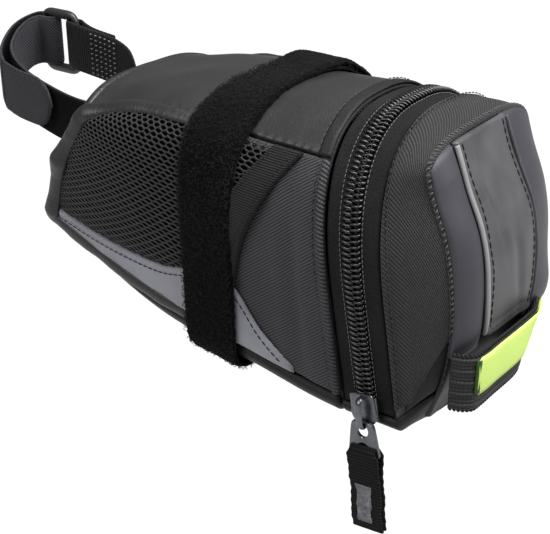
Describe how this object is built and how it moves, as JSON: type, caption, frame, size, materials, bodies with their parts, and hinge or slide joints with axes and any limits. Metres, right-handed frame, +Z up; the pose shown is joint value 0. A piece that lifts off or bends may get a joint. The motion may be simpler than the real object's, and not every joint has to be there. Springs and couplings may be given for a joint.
{
  "type": "saddle bag",
  "caption": "Small bicycle saddle bag: arched fabric body with a zipped drop-down lid, side mesh pockets, light loop, a rail strap and a seat post strap.",
  "frame": {"origin": "middle of the top panel under the rail strap, where the bag hangs from the saddle rails", "axes": "+X back to the lid, -X forward to the seat post, -Y the bag's left, +Z up"},
  "size_m": [0.2195, 0.0901, 0.1289],
  "materials": {
    "coated_cloth": "matte coated cloth",
    "ribbed_twill": "matte diagonal twill",
    "pocket_mesh": "open knit",
    "binding_tape": "ribbed tape",
    "reflective_cloth": "satin reflective",
    "lid_cloth": "smooth coated cloth",
    "stiffener_board": "matte board",
    "lining_cloth": "plain weave",
    "zip_tape": "woven tape",
    "zip_coil": "glossy nylon",
    "loop_strap": "fuzzy loop pile",
    "woven_strap": "herringbone weave",
    "webbing": "ribbed webbing",
    "ring_plastic": "satin moulded",
    "bright_label": "fluorescent satin",
    "slider_metal": "satin gun-metal",
    "pull_webbing": "knitted ribbon",
    "grey_patch": "worn printed patch"
  },
  "bodies": {
    "bag": {"top_panel": "coated_cloth", "front_panel": "coated_cloth", "bottom_panel": "coated_cloth", "side_panel_left": "ribbed_twill", "side_panel_right": "ribbed_twill", "mesh_pocket_left": "pocket_mesh", "mesh_pocket_right": "pocket_mesh", "pocket_binding_left": "binding_tape", "pocket_binding_right": "binding_tape", "pocket_hem_left": "reflective_cloth", "pocket_hem_right": "reflective_cloth", "body_zip_facing": "coated_cloth", "top_stiffener": "stiffener_board", "bottom_stiffener": "stiffener_board", "body_lining": "lining_cloth", "body_zip_tape": "zip_tape", "body_coil": "zip_coil", "body_hinge_strip": "coated_cloth", "zip_stops": "slider_metal", "rail_strap": "loop_strap", "rail_strap_lap": "loop_strap", "seatpost_buckle": "ring_plastic", "seatpost_strap": "woven_strap", "buckle_webbing": "webbing"},
    "lid": {"lid_zip_tape": "zip_tape", "lid_coil": "zip_coil", "lid_hinge_strip": "coated_cloth", "lid_gusset": "ribbed_twill", "lid_bottom": "coated_cloth", "lid_panel_left": "lid_cloth", "lid_panel_right": "lid_cloth", "lid_centre_strip": "reflective_cloth", "lid_stiffener": "stiffener_board", "lid_lining": "lining_cloth", "light_loop": "webbing", "loop_label": "bright_label"},
    "slider": {"slider_body": "slider_metal", "slider_bridge": "slider_metal"},
    "puller": {"pull_tab": "slider_metal"},
    "pull": {"pull_ribbon": "pull_webbing", "ribbon_patch": "grey_patch"},
    "rail_strap_tail": {"rail_strap_end": "loop_strap"},
    "seatpost_strap_tail": {"seatpost_strap_tip": "woven_strap"}
  },
  "joints": [
    {"name": "lid_open", "type": "hinge", "parent": "bag", "child": "lid", "pos_m": [0.0599, 0, -0.0905], "axis": [0, 1, 0], "range_deg": [0, 95]},
    {"name": "slider_travel", "type": "slide", "parent": "bag", "child": "slider", "axis": [-0.1483, -0.0267, 0.9886], "range_m": [0, 0.025]},
    {"name": "pull_tab_swing", "type": "hinge", "parent": "slider", "child": "puller", "pos_m": [0.059, -0.04245, -0.08473], "axis": [-0.9945, 0, -0.1045], "range_deg": [0, 140]},
    {"name": "ribbon_swing", "type": "hinge", "parent": "puller", "child": "pull", "pos_m": [0.06002, -0.04245, -0.09448], "axis": [-0.9945, 0, -0.1045], "range_deg": [-35, 35]},
    {"name": "rail_strap_end_peel", "type": "hinge", "parent": "bag", "child": "rail_strap_tail", "pos_m": [-0.00035, 0.04484, -0.03441], "axis": [1, 0, 0], "range_deg": [0, 110]},
    {"name": "seatpost_strap_tip_peel", "type": "hinge", "parent": "bag", "child": "seatpost_strap_tail", "pos_m": [-0.112, -0.0179, -0.02], "axis": [0, 0, -1], "range_deg": [0, 100]}
  ]
}
